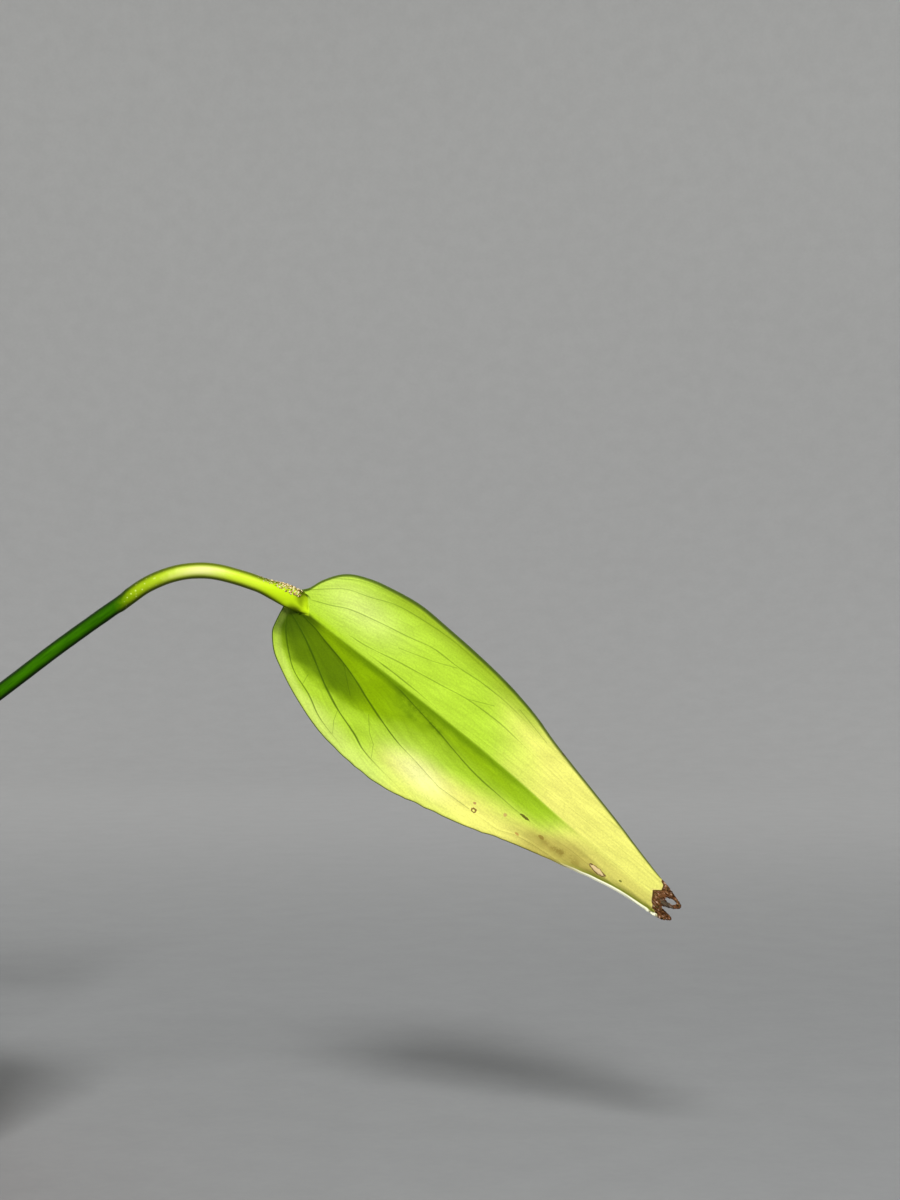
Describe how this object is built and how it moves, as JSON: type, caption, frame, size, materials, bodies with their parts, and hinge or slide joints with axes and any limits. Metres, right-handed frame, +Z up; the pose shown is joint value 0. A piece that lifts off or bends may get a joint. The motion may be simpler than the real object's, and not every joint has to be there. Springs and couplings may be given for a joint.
{
  "type": "potted flame monstera",
  "caption": "Young monstera with long entire leaves on arched stalks, a short stem with aerial roots, and soil in a plain plastic pot; the oldest leaf hangs out to one side with a torn dry tip.",
  "frame": {"origin": "centre of the pot's base, on the surface that the pot stands on", "axes": "+Z up; +X towards the oldest leaf, which hangs out over the pot's rim; -Y towards the side that this leaf's underside faces"},
  "size_m": [0.464, 0.3062, 0.2716],
  "materials": {
    "pot_plastic": "matte",
    "potting_soil": "matte",
    "stem_bark": "satin",
    "leaf_stalk": "satin",
    "old_leaf_blade": "satin",
    "leaf_blade": "satin",
    "new_leaf": "satin"
  },
  "bodies": {
    "root": {"pot": "pot_plastic", "soil": "potting_soil", "stem": "stem_bark", "leaf_stalk_1": "leaf_stalk", "leaf_stalk_2": "leaf_stalk", "leaf_stalk_3": "leaf_stalk", "leaf_stalk_4": "leaf_stalk", "leaf_blade_1": "old_leaf_blade", "leaf_blade_2": "leaf_blade", "leaf_blade_3": "leaf_blade", "leaf_blade_4": "leaf_blade", "new_leaf": "new_leaf"}
  },
  "joints": []
}
